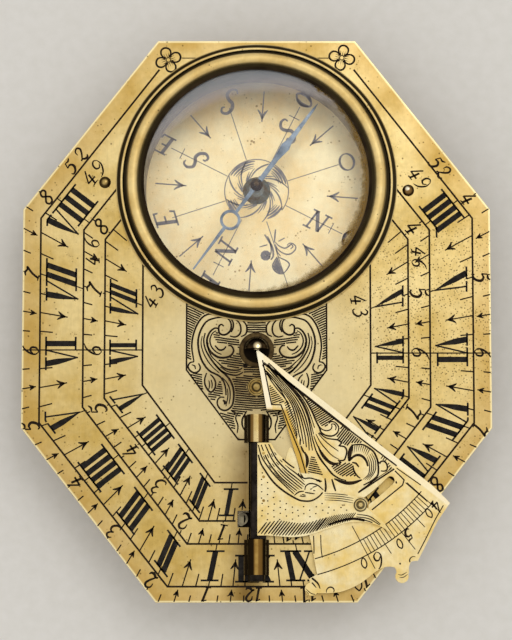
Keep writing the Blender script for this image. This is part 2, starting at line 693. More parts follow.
# Each figure is drawn in a box one unit high. A stroke is: smooth or not, how it is pressed,
# its width against the pen's, and its points' x and y in turn.
FIGURES = {
    "0": [(1, "even", 1.0, [0.3, 1, 0.08, 0.8, 0.04, 0.4, 0.22, 0.02, 0.46, 0.2, 0.52, 0.62, 0.3, 1])],
    "1": [
        (0, "even", 1.5, [0.28, 0.98, 0.28, 0.02]),
        (0, "even", 0.8, [0.04, 0.86, 0.36, 1.0]),
        (0, "even", 0.9, [0.06, 0.0, 0.52, 0.02]),
    ],
    "2": [
        (1, "swell", 1.5, [0.08, 0.62, 0.1, 0.9, 0.34, 1.0, 0.52, 0.8, 0.4, 0.5, 0.16, 0.22, 0.02, 0.1]),
        (1, "swell", 1.8, [0.0, 0.16, 0.16, 0.18, 0.36, 0.02, 0.56, 0.0, 0.66, 0.14]),
    ],
    "3": [
        (1, "swell", 1.3, [0.06, 0.86, 0.26, 1.0, 0.46, 0.84, 0.38, 0.62, 0.2, 0.54]),
        (1, "swell", 1.5, [0.2, 0.54, 0.46, 0.5, 0.56, 0.26, 0.38, 0.02, 0.12, 0.0, 0.02, 0.16]),
    ],
    "4": [
        (0, "even", 1.1, [0.36, 1.02, 0.0, 0.36]),
        (0, "even", 1.25, [-0.04, 0.34, 0.62, 0.3]),
        (0, "even", 1.5, [0.38, 0.7, 0.34, 0.02]),
        (0, "even", 0.8, [0.16, 0.0, 0.54, 0.02]),
    ],
    "5": [
        (1, "swell", 1.4, [0.62, 1.04, 0.42, 0.9, 0.16, 0.96]),
        (0, "even", 0.9, [0.16, 0.96, 0.08, 0.58]),
        (1, "swell", 1.8, [0.08, 0.58, 0.34, 0.64, 0.54, 0.4, 0.4, 0.06, 0.12, 0.0, 0.02, 0.14]),
    ],
    "6": [
        (1, "swell", 1.3, [0.62, 1.12, 0.3, 0.96, 0.08, 0.58, 0.06, 0.22, 0.26, 0.0]),
        (1, "swell", 1.4, [0.26, 0.0, 0.5, 0.16, 0.48, 0.46, 0.28, 0.56, 0.08, 0.38]),
    ],
    "7": [
        (1, "swell", 1.4, [0.0, 0.86, 0.2, 0.98, 0.42, 0.9, 0.62, 1.0]),
        (1, "even", 1.4, [0.6, 0.98, 0.36, 0.5, 0.26, 0.02]),
        (0, "even", 0.8, [0.08, 0.0, 0.46, 0.02]),
    ],
    "8": [
        (1, "even", 1.3, [0.28, 0.54, 0.1, 0.74, 0.2, 0.98, 0.42, 0.96, 0.5, 0.76, 0.28, 0.54, 0.04, 0.26,
            0.16, 0.02, 0.42, 0.04, 0.5, 0.28, 0.28, 0.54]),
    ],
    "9": [
        (1, "swell", 1.4, [0.44, 0.62, 0.28, 0.44, 0.06, 0.56, 0.06, 0.86, 0.26, 1.0, 0.46, 0.86]),
        (1, "swell", 1.3, [0.46, 0.86, 0.52, 0.5, 0.3, 0.1, -0.04, -0.06]),
    ],
    "S": [
        (1, "swell", 2.0, [0.86, 0.72, 0.84, 0.92, 0.58, 1.02, 0.34, 0.86, 0.4, 0.58, 0.54, 0.34, 0.46,
            0.08, 0.2, -0.04, -0.04, 0.1, 0.0, 0.3, 0.14, 0.3]),
    ],
    "O": [
        (1, "even", 1.2, [0.4, 1, 0.1, 0.76, 0.08, 0.34, 0.32, 0.0, 0.62, 0.2, 0.66, 0.62, 0.4, 1]),
        (1, "swell", 2.2, [0.2, 0.86, 0.08, 0.5, 0.22, 0.1]),
        (1, "swell", 2.2, [0.5, 0.1, 0.66, 0.42, 0.54, 0.86]),
    ],
    "N": [
        (0, "even", 1.2, [0.1, 0.0, 0.1, 1.0]),
        (0, "even", 2.1, [0.1, 1.0, 0.74, 0.0]),
        (0, "even", 1.2, [0.74, 0.0, 0.74, 1.0]),
        (0, "even", 1.0, [-0.12, 0.0, 0.34, 0.0]),
        (0, "even", 1.0, [-0.14, 1.0, 0.22, 1.0]),
        (0, "even", 1.0, [0.54, 1.0, 0.96, 1.0]),
    ],
    "E": [
        (0, "even", 2.0, [0.16, 0.0, 0.16, 1.0]),
        (0, "even", 1.0, [-0.06, 1.0, 0.66, 1.0, 0.68, 0.8]),
        (0, "even", 1.0, [-0.06, 0.0, 0.68, 0.0, 0.72, 0.22]),
        (0, "even", 1.0, [0.16, 0.52, 0.5, 0.52]),
    ],
}


def write(text, middle, right, height, width, slant=0.18, advance=0.78):
    """Strokes of a short word: each figure's box is scaled to height, slanted, and set along
    the direction right, with the whole centred on middle."""
    right = np.asarray(right, float) / np.linalg.norm(right)
    up = np.array([-right[1], right[0]])
    out = []
    for i, mark in enumerate(text):
        shift = (i - (len(text) - 1) / 2) * advance * height
        for smooth, press, share, points in FIGURES[mark]:
            p = pairs(points) - (0.3, 0.5)
            x = (p[:, 0] + slant * p[:, 1]) * height + shift
            place = np.asarray(middle) + x[:, None] * right + (p[:, 1] * height)[:, None] * up
            line = flow(place, 0.16) if smooth else straight(place, 0.3)
            out.append(pen(line, width * share, press))
    return out


# the four hour scales

# Right half of the rim and of the four ruled octagons, from the top round to the noon line.
OCTAGONS = [
    [(13.4, 38.0), (31.5, 14.8), (31.5, -14.8), (13.4, -38.0), (0.0, -38.0)],
    [(13.2, 34.05), (29.1, 13.6), (29.1, -14.1), (11.85, -35.9), (0.0, -35.9)],
    [(18.9, 17.6), (23.3, 12.0), (23.3, -12.0), (9.25, -30.25), (0.0, -30.25)],
    [(18.2, 13.5), (20.4, 10.7), (20.4, -10.8), (7.6, -27.2), (0.0, -27.2)],
    [(15.3, 7.3), (15.3, -9.05), (5.6, -22.1), (0.0, -22.1)],
]
BAND_LATITUDES = (52.0, 49.0, 46.0, 43.0)
LAST_HOUR = 8
# the engraver struck the right half's lines from a point a little below the left half's
MIDDLES = {-1: TOE, 1: TOE + (0, -0.42)}
ROMAN = ["XII", "I", "II", "III", "IIII", "V", "VI", "VII", "VIII", "IX", "X", "XI"]


def ray(hour, latitude, side):
    """The unit direction from the toe of an hour line: hour counts from noon, and its angle
    from the noon line has the tangent sin(latitude) times tan(15 degrees times hour)."""
    turn = math.radians(15 * hour)
    angle = math.atan2(math.sin(math.radians(latitude)) * math.sin(turn), math.cos(turn))
    return np.array([side * math.sin(angle), -math.cos(angle)])


def crossing(direction, line, side):
    """Where a ray from the lines' middle meets an octagon, or None."""
    middle = MIDDLES[side]
    for a, b in zip(line[:-1], line[1:]):
        a = np.array([side * a[0], a[1]]) - middle
        b = np.array([side * b[0], b[1]]) - middle
        run = b - a
        bottom = direction[0] * run[1] - direction[1] * run[0]
        if abs(bottom) < 1e-9:
            continue
        reach = (a[0] * run[1] - a[1] * run[0]) / bottom
        share = (a[0] * direction[1] - a[1] * direction[0]) / bottom
        if reach > 0 and -1e-6 <= share <= 1 + 1e-6:
            return middle + reach * direction
    return None


def arrow(tail, tip, width=0.2, size=0.75):
    """A shaft with two barbs swept back from near its tip, pressed hard where they meet."""
    tail, tip = np.asarray(tail, float), np.asarray(tip, float)
    way = (tip - tail) / np.linalg.norm(tip - tail)
    out_way = np.array([-way[1], way[0]])
    neck = tip - way * 0.45 * size
    strokes = [pen(straight([tail, tip]), width)]
    for s in (-1, 1):
        end = neck - way * 1.15 * size + s * out_way * 0.66 * size
        bend = (neck + end) / 2 - s * out_way * 0.1 * size
        strokes.append(pen(flow([neck + way * 0.15 * size, bend, end], 0.2), 1.7 * width, "swell"))
    return strokes


def walk(index, side, share, way, slide):
    """Gives the place any distance along the line at that share of a band's depth, counted
    the way the numbers read, from slide mm past where an hour line crosses it."""
    outer, inner = OCTAGONS[index], OCTAGONS[index + 1]
    count = min(len(outer), len(inner))
    line = np.array(outer[-count:]) * (1 - share) + np.array(inner[-count:]) * share
    start = crossing(way, line, side)
    line = straight(line * (side, 1), 0.05)
    along = lengths(line)
    from_start = along[np.argmin(np.linalg.norm(line - start, axis=1))] + side * slide

    def place(distance):
        at = from_start + side * distance
        return np.array([np.interp(at, along, line[:, 0]), np.interp(at, along, line[:, 1])])

    return place


# how far apart a number's stems stand, against the band's pitch
CLOSE = {"II": 0.8, "III": 0.86, "IIII": 0.86}


def roman(text, foot, head, stem, pitch, bar):
    """Strokes of a Roman number. foot and head give the place any distance along the lines it
    stands between, pitch is how far apart its stems are, bar half the length of a serif."""

    def spot(a, b):
        return foot(a) * (1 - b) + head(a) * b

    def serif(a, b, half):
        return pen([spot(a + u * half, b) for u in np.linspace(-1, 1, 9)], 0.29)

    strokes = []
    pitch = pitch * CLOSE.get(text, 1.0)
    widths = {"I": pitch, "V": 2.5 * stem + 0.45, "X": 2.6 * stem + 0.4}
    x = -sum(widths[c] for c in text) / 2
    for c in text:
        w = widths[c]
        mid = x + w / 2
        if c == "I":
            strokes.append(pen(straight([spot(mid, 0), spot(mid, 1)]), stem))
            half = bar * (1.3 if text == "I" else 1.0)
            strokes += [serif(mid, 0.0, half), serif(mid, 1.0, half)]
        else:
            a, b = (x + 0.55 * stem, x + w - 0.3 * stem)
            low_a, low_b = (mid, mid) if c == "V" else (x + w - 0.45 * stem, x + 0.3 * stem)
            foot_share = -0.08 if c == "V" else 0.0
            thick = straight([spot(a, 1.0), spot(low_a, foot_share)])
            strokes.append(pen(thick, 1.08 * stem, "spike" if c == "V" else "even"))
            strokes.append(cut([spot(b, 1.0), spot(low_b, foot_share)], 0.25))
            strokes += [serif(a, 1.0, 0.95 * bar), serif(b, 1.0, 0.8 * bar)]
            if c == "X":
                strokes += [serif(low_a, 0.0, 0.95 * bar), serif(low_b, 0.0, 0.8 * bar)]
        x += w
    return strokes


ruled = []
for line in OCTAGONS[1:]:
    left = [(-x, y) for x, y in line[-2::-1]]
    ruled.append(pen(straight(line + left), 0.29))
# the six o'clock line, level through the toe
for side in (-1, 1):
    level = MIDDLES[side][1]
    ruled.append(cut([(side * 15.3, level), (side * 31.5, level)], 0.2))

numerals, figures, arrows, ticks = [], [], [], []
# for each band: how far half-hour arrows and quarter ticks reach in, and for Roman numbers
# the stem's width and spacing
BANDS = [
    {"arrow": 0.8, "tick": 0.42, "size": 0.55},
    {"arrow": 0.64, "tick": 0.3, "size": 0.85, "stem": 0.84, "pitch": 1.27, "bar": 0.92},
    {"arrow": 0.68, "tick": 0.42, "size": 0.6},
    {"arrow": 0.57, "tick": 0.34, "size": 0.75, "stem": 0.66, "pitch": 1.0, "bar": 0.76},
]


def tick(start, end, width):
    """Adds a short straight cut."""
    ticks.append(cut([start, end], width))


def shown_hour(hour, side):
    """The number an hour line bears: hours after noon on the left, from noon back on the right."""
    return int(hour) if side < 0 else 12 - int(hour)


for index, band in enumerate(BANDS):
    for side, quarter in product((-1, 1), range(1, 4 * LAST_HOUR + 1)):
        hour = quarter / 4
        way = ray(hour, BAND_LATITUDES[index], side)
        outer = crossing(way, OCTAGONS[index], side)
        inner = crossing(way, OCTAGONS[index + 1], side)
        if outer is None:
            continue
        top = outer - 0.1 * way if index == 0 else outer
        if inner is None:
            # the innermost scale's last line, where the smallest octagon no longer reaches
            if index == 3 and hour == LAST_HOUR:
                tick(top, top - 2.4 * way, 0.2)
            continue
        depth = inner - top
        if quarter % 4 == 2:
            arrows += arrow(top, top + depth * band["arrow"], size=band["size"])
        elif quarter % 4:
            tick(top, top + depth * band["tick"], 0.21)
        elif "stem" not in band:
            reading = (way[1], -way[0])
            shown = str(shown_hour(hour, side))
            tall = 2.0 if index == 0 else 2.1
            figures += write(shown, top + depth * 0.5, reading, tall, 0.24, advance=0.55)
            tick(top, top + depth * 0.16, 0.2)
            tick(inner - depth * 0.1, inner, 0.17)
        elif index == 3 and hour == LAST_HOUR:
            tick(top, top + depth * 0.5, 0.2)
        else:
            shown = shown_hour(hour, side)
            slide = -0.4 if shown in (6, 7, 8) else 0.0
            foot = walk(index, side, 0.83, way, slide)
            head = walk(index, side, 0.145, way, slide)
            numerals += roman(ROMAN[shown], foot, head, band["stem"], band["pitch"], band["bar"])
            tick(top, top + depth * 0.145, 0.2)
            tick(inner - depth * 0.17, inner, 0.18)


def noon(height):
    """Gives the place any distance left of the noon line, at a height below the toe."""
    return lambda distance: TOE + (-distance - 0.27, -height)


# noon: the broad number stands astride the hinge
numerals += roman("XII", noon(27.5), noon(30.95), 0.84, 1.0, 0.8)
figures += write("12", (-0.4, -36.95), (-1, 0), 1.75, 0.23, advance=0.6)
# which latitude each scale is cut for
for word, x, y, lean, tall, advance in (
    ("52", -24.5, 21.5, 52.0, 1.85, 1.19),
    ("52", 24.8, 20.6, -52.0, 1.9, 0.86),
    ("49", -21.95, 19.9, 52.0, 2.1, 0.95),
    ("49", 22.1, 19.0, -52.0, 2.0, 0.86),
    ("46", -22.1, 9.05, 90.0, 1.8, 1.3),
    ("46", 21.8, 8.2, -90.0, 1.8, 0.87),
    ("43", -13.8, 3.0, 60.0, 1.9, 0.9),
    ("43", 13.8, 1.6, -78.0, 1.9, 0.9),
):
    angle = math.radians(lean)
    figures += write(word, (x, y), (math.cos(angle), math.sin(angle)), tall, 0.21, advance=advance)

for name, strokes, wax, rise in (
    ("ruled_lines", ruled, line_wax, 0.012),
    ("hour_numerals", numerals, numeral_wax, 0.015),
    ("hour_figures", figures, line_wax, 0.017),
    ("half_hour_arrows", arrows, line_wax, 0.014),
    ("quarter_ticks", ticks, line_wax, 0.013),
):
    engrave(name, strokes, "dial_plate", PLATE_TOP, wax, "case", rise)


# corner flowers and panel


def mirrored(strokes):
    """The strokes and their mirror images across the noon line."""
    return strokes + [(points * (-1, 1), widths) for points, widths in strokes]


PETAL = (
    (0.35, -0.2), (0.75, -0.62), (1.35, -0.62), (1.72, -0.12),
    (1.6, 0.42), (1.1, 0.66), (0.6, 0.5), (0.35, 0.2),
)
flowers = []
for x, y, turn in ((-12.0, 35.4, 20.0), (11.6, 35.7, -12.0)):
    centre = np.array([x, y])
    flowers.append(pen(circle(centre, 0.32), 0.15))
    for k in range(4):
        angle = math.radians(turn + 90 * k)
        out_way = np.array([math.cos(angle), math.sin(angle)])
        across = np.array([-out_way[1], out_way[0]])
        petal = [centre + out_way * u + across * v for u, v in PETAL]
        flowers.append(pen(flow(petal, 0.15), 0.3, "firm"))
        for v in (-0.22, 0.0, 0.24):
            vein = [centre + out_way * 0.4 + across * v, centre + out_way * 0.95 + across * v * 1.5]
            flowers.append(pen(flow(vein), 0.13, "fade"))
    side = np.sign(x)
    flowers.append(cut([(x - side * 1.8, 35.65), (x - side * 4.6, 35.65)], 0.15))
engrave("corner_flowers", flowers, "dial_plate", PLATE_TOP, line_wax, "case", 0.015)

# Panel below the compass: leaf scrolls left bright on a hatched ground, worked out for the
# left half, measured from the toe.
panel_half = [cut([-9.4, 7.4, -9.4, -2.7, -2.45, -12.05, -1.3, -12.05], 0.26)]
PANEL_LINES = (
    # the outer ribbon and its inner edge, which runs on as the stem of the lower curl
    (0.3, [-4.3, 5.1, -5.9, 4.9, -6.6, 4.8, -7.3, 4.4, -7.9, 3.6, -8.3, 2.7, -8.6, 1.6, -8.7, 0.4, -8.55,
        -0.7, -8.4, -1.6]),
    (0.32, [-4.0, 4.4, -4.6, 4.45, -5.6, 4.3, -6.5, 4.0, -7.1, 3.4, -7.6, 2.4, -7.85, 1.3, -7.8, 0.2,
        -7.6, -0.7, -7.3, -1.5, -6.8, -2.3, -6.2, -2.9, -5.6, -3.2, -4.9, -3.6, -4.4, -4.3, -4.15, -5.2,
        -4.1, -6.1]),
    (0.32, [-6.9, 2.3, -7.1, 1.3, -6.9, 0.2, -6.4, -0.8, -5.7, -1.8, -4.9, -2.7, -4.2, -3.3, -3.6, -4.0,
        -3.2, -4.9, -3.05, -5.8, -3.1, -6.8, -3.3, -7.5, -3.8, -8.0, -4.3, -8.15, -4.9, -7.9, -5.25, -7.3,
        -5.2, -6.7, -4.8, -6.35, -4.3, -6.4]),
    (0.4, [-4.5, -6.75, -4.2, -7.05, -4.3, -7.35]),
    # shading that follows them
    (0.2, [-7.3, 1.9, -7.45, 0.9, -7.2, -0.2, -6.6, -1.4, -5.8, -2.4, -5.0, -3.1]),
    (0.2, [-6.5, 1.0, -6.5, 0.1, -6.0, -0.9, -5.2, -1.7]),
    (0.2, [-4.6, -3.7, -4.0, -4.4, -3.6, -5.3, -3.55, -6.4, -3.7, -7.3]),
    (0.18, [-3.9, -5.2, -3.85, -6.2, -4.1, -7.6]),
    # the volute at the top and the lobes to the right of it
    (0.32, [-3.9, 4.3, -3.5, 3.8, -3.4, 3.1, -3.6, 2.5, -4.1, 2.1, -4.6, 2.05, -5.0, 2.3, -5.1, 2.9, -5.0,
        3.3, -4.7, 3.45, -4.4, 3.2]),
    (0.26, [-3.5, 4.3, -3.15, 3.7, -3.15, 3.0, -3.4, 2.4]),
    (0.28, [-2.9, 4.2, -2.3, 3.6, -2.1, 2.8, -2.3, 2.1, -2.9, 1.75, -3.6, 1.9]),
    (0.28, [-1.9, 4.0, -1.4, 3.4, -1.3, 2.7, -1.5, 2.1, -2.1, 1.8]),
    # the inner leaf and its small curl
    (0.36, [-5.2, 2.9, -5.6, 2.95, -6.2, 2.5, -6.6, 1.7, -6.65, 0.9, -6.4, 0.1, -5.9, -0.5, -5.2, -0.95,
        -4.4, -1.05, -3.6, -0.85, -3.15, -0.35, -3.1, 0.1, -3.4, 0.55, -3.8, 0.6]),
    (0.24, [-5.4, 2.6, -5.9, 2.3, -6.25, 1.5, -6.2, 0.8, -5.9, 0.2, -5.3, -0.35, -4.7, -0.6]),
    (0.3, [-5.6, 0.6, -5.0, 0.0, -4.4, 0.1, -4.1, 0.5]),
    # the sweeps beside the rivet
    (0.28, [-5.3, -1.6, -4.4, -2.4, -3.4, -2.7, -2.4, -2.7, -1.9, -2.4]),
    (0.28, [-5.6, -1.9, -4.6, -2.9, -3.6, -3.3, -2.6, -3.4, -1.8, -3.0]),
    (0.18, [-4.9, -2.3, -3.9, -2.9, -2.9, -3.05, -2.1, -2.85]),
    # buds on the outside of the stem
    (0.3, [-8.4, -1.6, -8.9, -1.7, -9.2, -2.2, -8.9, -2.8, -8.3, -3.1, -7.7, -2.8, -7.55, -2.3, -7.8,
        -1.8]),
    (0.22, [-8.7, -2.0, -8.3, -2.15, -8.2, -2.6]),
    (0.3, [-6.7, -3.1, -6.95, -3.9, -6.9, -4.7, -6.5, -5.4, -6.1, -5.7, -5.6, -5.2, -5.5, -4.4, -5.8,
        -3.7, -6.2, -3.3]),
    (0.2, [-6.4, -5.3, -6.3, -4.7, -6.4, -4.1]),
    (0.2, [-6.0, -5.2, -5.95, -4.6, -6.1, -4.0]),
    # the lowest leaf, beside the hinge
    (0.28, [-1.3, -8.2, -1.9, -9.3, -1.9, -10.2, -1.6, -10.8]),
    (0.24, [-2.4, -8.4, -2.8, -9.1, -2.5, -10.2, -2.6, -11.2]),
)
panel_half += traced(PANEL_LINES)
GROUNDS = (
    (-25, [-9.3, 7.2, -9.3, -1.5, -8.75, -1.3, -8.95, 0.4, -8.75, 2.0, -8.2, 3.5, -7.4, 4.7, -6.2, 5.3,
        -7.5, 6.2]),
    (-8, [-5.9, 2.0, -5.3, 2.5, -4.9, 1.9, -3.6, 1.7, -2.4, 1.6, -2.2, 0.2, -2.9, 0.6, -3.9, 0.9, -5.2,
        0.9]),
    (-8, [-2.9, -0.6, -2.2, -0.3, -2.0, -1.5, -0.9, -2.2, -2.2, -2.4, -3.4, -2.4, -4.6, -1.9, -5.3, -1.2,
        -4.1, -1.3]),
    (-5, [-3.3, -3.9, -2.6, -3.6, 0, -3.2, 0, -3.8, -1.15, -4.4, -1.4, -5.0, -1.1, -5.8, 0, -6.4, 0, -8.1,
        -1.2, -8.1, -2.3, -9.0, -3.5, -8.2, -3.05, -7.5, -2.85, -6.6, -2.85, -5.6, -3.0, -4.7]),
    (-12, [-9.2, -3.1, -7.3, -3.1, -7.3, -3.8, -7.25, -4.6, -7.1, -5.4, -7.5, -5.2]),
    (-8, [-6.7, -6.0, -5.7, -5.7, -5.2, -4.6, -4.9, -3.9, -4.6, -4.9, -4.5, -6.0, -5.4, -6.4, -5.7, -7.1]),
    (-14, [-5.6, -7.6, -5.1, -8.3, -4.1, -8.5, -3.0, -8.2, -2.7, -8.6, -3.1, -9.2, -2.8, -10.4, -3.0,
        -11.0]),
)
for angle, corners in GROUNDS:
    panel_half += hatch(corners, angle, 0.3, 0.23, 0.02)
panel = mirrored(panel_half)
for corners in ([-1.2, 4.6, 1.2, 4.6, 1.3, 2.3, -1.3, 2.3], [-1.8, -1.9, 1.8, -1.9, 1.7, -3.1, -1.7, -3.1]):
    panel += hatch(corners, 0, 0.3, 0.23, 0.02)
panel = moved(panel, TOE)
engrave("panel_ornament", panel, "dial_plate", PLATE_TOP, line_wax, "case", 0.015)


# compass rose

# a whirl of petals in a ring: each petal's line leaves the middle, bends the way the clock
# runs and meets the ring, and four stretches of the ring are cut dark
RING = 4.4
rose = [pen(circle(COMPASS, RING, -38, 232), 0.16)]


def whirl(first, reach=1.0, curve=-58.0, start=1.9, end=RING):
    """A line from radius start at the angle first, on to radius end as the angle turns."""
    t = np.linspace(0, reach, 14)
    a = np.radians(first + curve * t**0.8)
    r = start + (end - start) * t
    return COMPASS + np.stack([r * np.cos(a), r * np.sin(a)], axis=1)


for first in (20, 62, 118, 165, 208, 252, 296, 338):
    rose.append(pen(whirl(first), 0.26, "swell"))
    for extra, reach in ((10, 0.5), (19, 0.38)):
        rose.append(pen(whirl(first + extra, reach), 0.3, "fade"))
for first, last in ((92, 150), (196, 232), (290, 330), (12, 58)):
    for radius, width in ((4.15, 0.42), (3.78, 0.34), (3.46, 0.22), (3.22, 0.16)):
        trim = 5 * (RING - radius)
        rose.append(pen(circle(COMPASS, radius, first + trim, last - trim), width, "swell"))


def bearing(degrees):
    """The unit direction that many degrees clockwise from +Y."""
    a = math.radians(degrees)
    return np.array([math.sin(a), math.cos(a)])


# The lily that marks the way the needle lies at the place's own north.
LILY = (
    # pointed petal, its left half cut dark
    (0.22, [2.92, -9.17, 3.4, -9.4, 4.19, -9.8, 4.5, -10.27, 4.2, -10.9, 3.71, -11.5]),
    (0.24, [2.84, -9.17, 2.45, -9.8, 2.21, -10.43, 2.45, -11.06, 3.08, -11.5, 3.71, -11.54]),
    # a curl ending in a ball on one side, two open ones on the other
    (0.34, [1.1, -6.08, 1.66, -6.95, 2.16, -7.9, 2.29, -9.0, 1.97, -9.6]),
    (0.22, [1.5, -6.3, 1.85, -7.1, 2.0, -8.4, 1.75, -9.2]),
    (0.26, [2.61, -5.37, 2.53, -6.16, 2.45, -7.2]),
    (0.22, [2.53, -7.11, 3.08, -7.66, 3.87, -7.98, 4.5, -7.66, 4.74, -7.45, 5.0, -7.75, 4.66, -8.1]),
    (0.22, [2.53, -7.43, 3.0, -8.22, 3.87, -8.77, 4.66, -8.77, 5.29, -8.22, 5.37, -7.74, 4.98, -7.35, 4.5,
        -7.3, 4.2, -7.6]),
    (0.2, [2.61, -7.74, 2.85, -8.5, 3.3, -9.1]),
    (0.2, [0.39, -7.82, 1.5, -7.5]),
    (0.2, [3.0, -7.03, 3.87, -6.56]),
)
# the winds clockwise from the top, how far the rose is turned, and where its letters stand
WINDS = ("S", "SO", "O", "NO", "", "NE", "E", "SE")
ROSE_TURN = -18
LETTERS = 13.1
for k, word in enumerate(WINDS):
    turn = ROSE_TURN + 45 * k
    way = bearing(turn)
    across = np.array([way[1], -way[0]])
    double = len(word) == 2
    end = {"": 16.0, "O": 11.9}.get(word, 13.2 if double else 12.2)
    rose.append(cut([COMPASS + 4.5 * way, COMPASS + end * way], 0.13))
    if double:
        rose += write(word[0], COMPASS + 9.1 * way, way, 2.6, 0.27)
        rose += write(word[1], COMPASS + 14.2 * way, way, 2.5, 0.27)
        middle = COMPASS + 11.5 * way
        rose.append(cut([middle - 0.8 * across, middle + 0.8 * across], 0.14))
    elif word == "O":
        # broader than it is tall, and cut heavier on its flanks
        oval = circle((0.0, 0.0), 1.0)
        oval = COMPASS + LETTERS * way + 1.16 * oval[:, :1] * across + 0.98 * oval[:, 1:] * way
        rose.append((oval, 0.17 + 0.22 * np.abs(np.sin(np.linspace(0, 2 * np.pi, len(oval))))))
    elif word:
        rose += write(word, COMPASS + LETTERS * way, across, 2.8, 0.28)
    else:
        lily = traced(LILY, step=0.15)
        lily.append(pen(circle((1.25, -9.0), 0.38), 0.74))
        dark = [2.85, -9.3, 2.5, -9.9, 2.3, -10.45, 2.5, -11.0, 3.1, -11.45, 3.65, -11.45]
        rose += moved(lily + hatch(dark, -70, 0.16, 0.18), COMPASS)
    way = bearing(turn + 22.3)
    rose += arrow(COMPASS + 14.0 * way, COMPASS + 9.7 * way, 0.2, 1.05)
engrave("rose_engraving", rose, "compass_rose", ROSE_TOP, rose_wax, "case", 0.015)


# style


def from_edge(radius, below):
    """A point at that radius from the toe, that many degrees below the style's edge."""
    a = EDGE_ANGLE - math.radians(below)
    return np.array([radius * math.sin(a), -radius * math.cos(a)])


edge_way = np.array([math.sin(EDGE_ANGLE), -math.cos(EDGE_ANGLE)])
edge_in = np.array([edge_way[1], -edge_way[0]])
# lines along the edge: each end by its distance from the toe and from the edge, and a width
style = [
    pen(straight([edge_way * a + edge_in * b, edge_way * c + edge_in * d]), width)
    for a, b, c, d, width in (
        (1.9, 0.9, 16.5, 0.95, 0.38),
        (16.5, 0.95, 24.3, 0.85, 0.24),
        (24.5, 1.1, 28.4, 0.9, 0.16),
        (26.6, 1.9, 30.4, 2.1, 0.16),
    )
]
style += [
    cut([0.8, -1.5, 2.0, -7.45, 3.25, -7.5, 4.2, -10.0, 5.8, -14.0, 6.6, -16.8], 0.2),
    cut([13.5, -19.2, 18.3, -16.05], 0.26),
    cut([18.4, -16.3, 19.6, -17.5, 19.4, -18.2, 15.3, -21.5], 0.2),
]
# strands that leave the tip together and open out into the leaves
STRANDS = (
    [1.2, -3.3, 2.0, -4.0, 3.0, -5.1, 4.0, -6.3, 4.7, -7.5, 5.1, -8.7, 5.4, -10.0, 5.6, -11.2, 5.9, -12.3],
    [1.4, -2.2, 2.8, -3.9, 4.2, -5.6, 5.2, -7.0, 6.0, -8.7, 6.5, -10.3, 6.9, -12.0, 7.0, -13.6],
    [1.5, -2.0, 3.2, -3.9, 4.8, -5.6, 6.0, -7.2, 6.8, -9.0, 7.2, -10.8, 7.5, -12.3, 7.9, -13.6],
    [1.6, -1.9, 4.0, -4.2, 5.6, -5.7, 6.5, -6.8, 7.3, -8.2, 7.9, -9.6, 8.4, -10.6],
)
left_strand = [0.75, -2.1, 1.3, -3.1, 1.9, -4.2, 2.7, -5.3, 3.6, -6.4, 4.3, -7.3]
style += fan(left_strand, STRANDS[0], 2, 0.2, "firm", ends=(0.0, 0.55))
style += fan(STRANDS[0], STRANDS[1], 4, 0.24, "firm")
style += fan(STRANDS[1], STRANDS[2], 2, 0.24, "firm", ends=(0.5, 1.0))
style += fan(STRANDS[2], STRANDS[3], 2, 0.2, "firm", ends=(0.3, 0.62), part=(0.1, 0.9))
